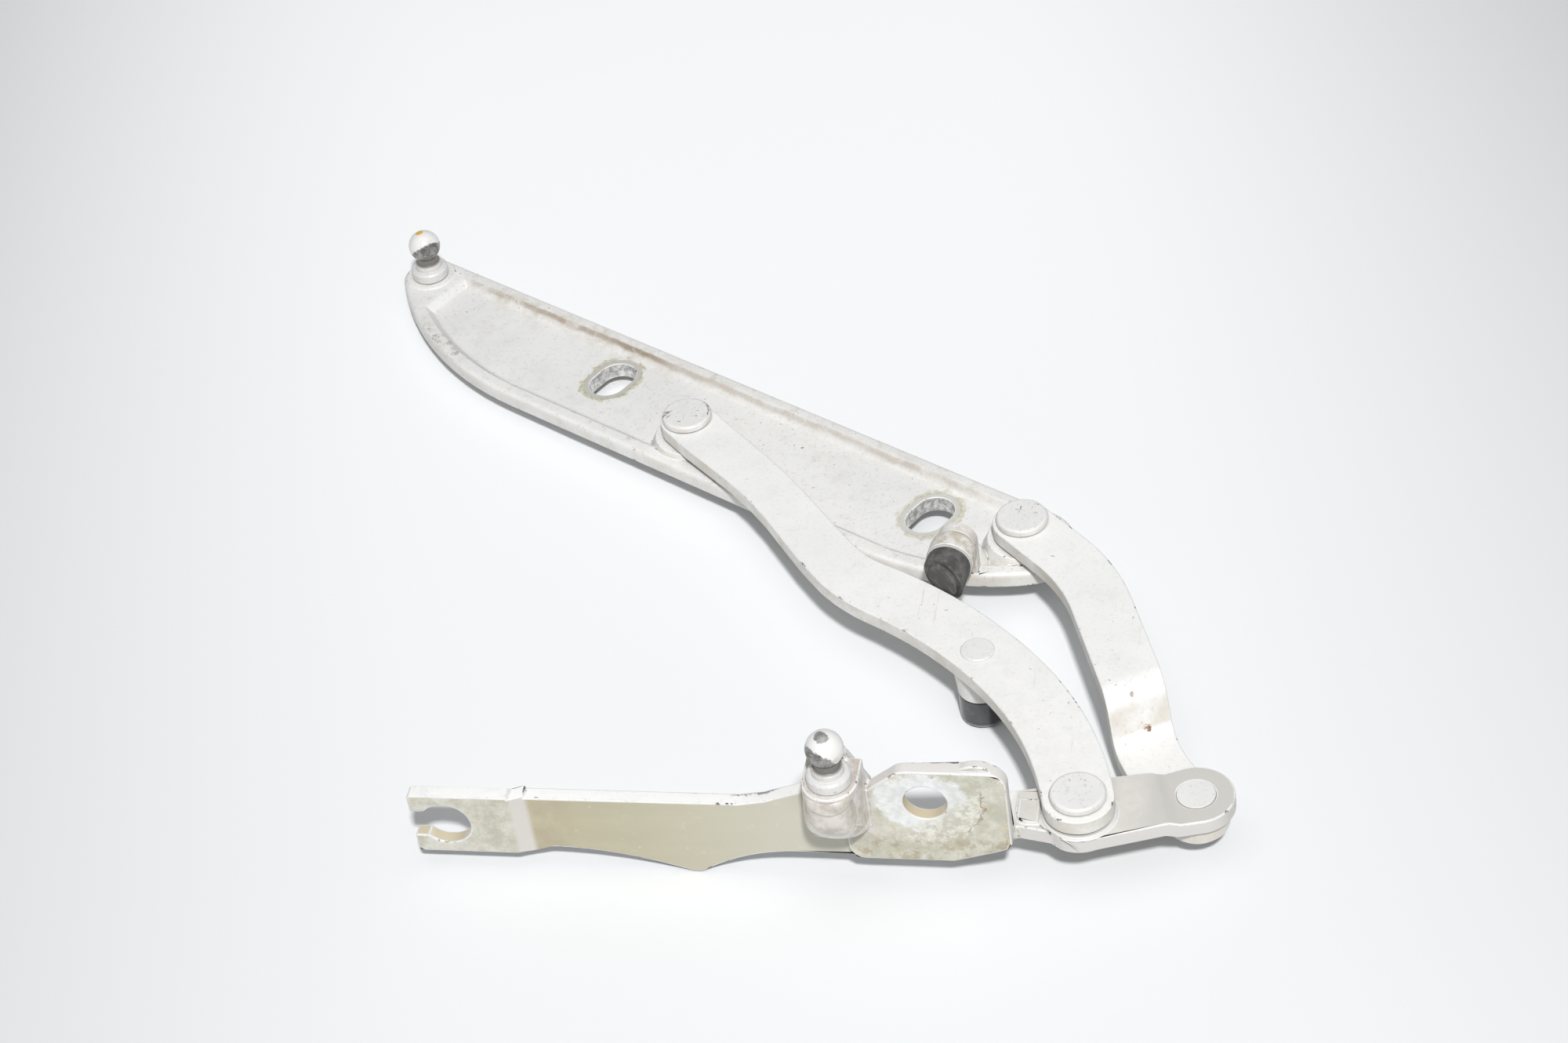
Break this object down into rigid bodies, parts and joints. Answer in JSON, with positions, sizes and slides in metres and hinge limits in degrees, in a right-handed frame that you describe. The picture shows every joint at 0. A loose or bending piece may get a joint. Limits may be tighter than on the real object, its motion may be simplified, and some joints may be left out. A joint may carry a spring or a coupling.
{
  "type": "boot lid hinge",
  "caption": "Car boot lid hinge: curved steel links join a body bracket to a slotted lid plate, with ball studs for gas springs, a rubber buffer and a stop sleeve.",
  "frame": {"origin": "centre of the bracket's fixing hole on the face that bolts to the car body", "axes": "+X along the bracket towards the pivots, +Y out of the fixing face into the boot, +Z along the pivot pins towards their heads; drawn with the lid closed"},
  "size_m": [0.2797, 0.2644, 0.0595],
  "materials": {
    "bracket_paint": "worn and soiled off-white paint",
    "link_paint": "satin off-white paint",
    "plate_paint": "satin off-white paint with dirt along the rim",
    "pin_paint": "satin off-white paint, chipped",
    "ball_steel": "bright steel with paint remnants",
    "bush_bronze": "dull",
    "sleeve_black": "glossy",
    "buffer_rubber": "matt"
  },
  "bodies": {
    "body_side": {"body_bracket": "bracket_paint", "body_ball_stud": "ball_steel", "body_long_pin": "pin_paint", "body_short_pin": "pin_paint"},
    "long_arm": {"long_link": "link_paint", "body_long_bush": "bush_bronze", "lid_long_bush": "bush_bronze", "stop_pin": "pin_paint", "stop_sleeve": "sleeve_black"},
    "short_arm": {"short_link": "link_paint", "body_short_bush": "bush_bronze", "lid_short_bush": "bush_bronze", "lid_short_pin": "pin_paint"},
    "lid_side": {"lid_plate": "plate_paint", "lid_ball_stud": "ball_steel", "lid_long_pin": "pin_paint", "stop_buffer": "buffer_rubber"}
  },
  "joints": [
    {"name": "lid_open", "type": "hinge", "parent": "body_side", "child": "long_arm", "pos_m": [0.038, 0.01, 0], "axis": [0, 0, -1], "range_deg": [0, 98]},
    {"name": "short_swing", "type": "hinge", "parent": "body_side", "child": "short_arm", "pos_m": [0.06726, 0.01928, 0], "axis": [0, 0, -1], "range_deg": [0, 125.5]},
    {"name": "lid_turn", "type": "hinge", "parent": "long_arm", "child": "lid_side", "pos_m": [-0.09294, 0.16223, 0], "axis": [0, 0, -1], "range_deg": [-17.5, 0]}
  ],
  "couplings": [
    {"joint": "short_swing", "follows": "lid_open", "ratio": 1.2765},
    {"joint": "lid_turn", "follows": "lid_open", "ratio": -0.1744}
  ]
}
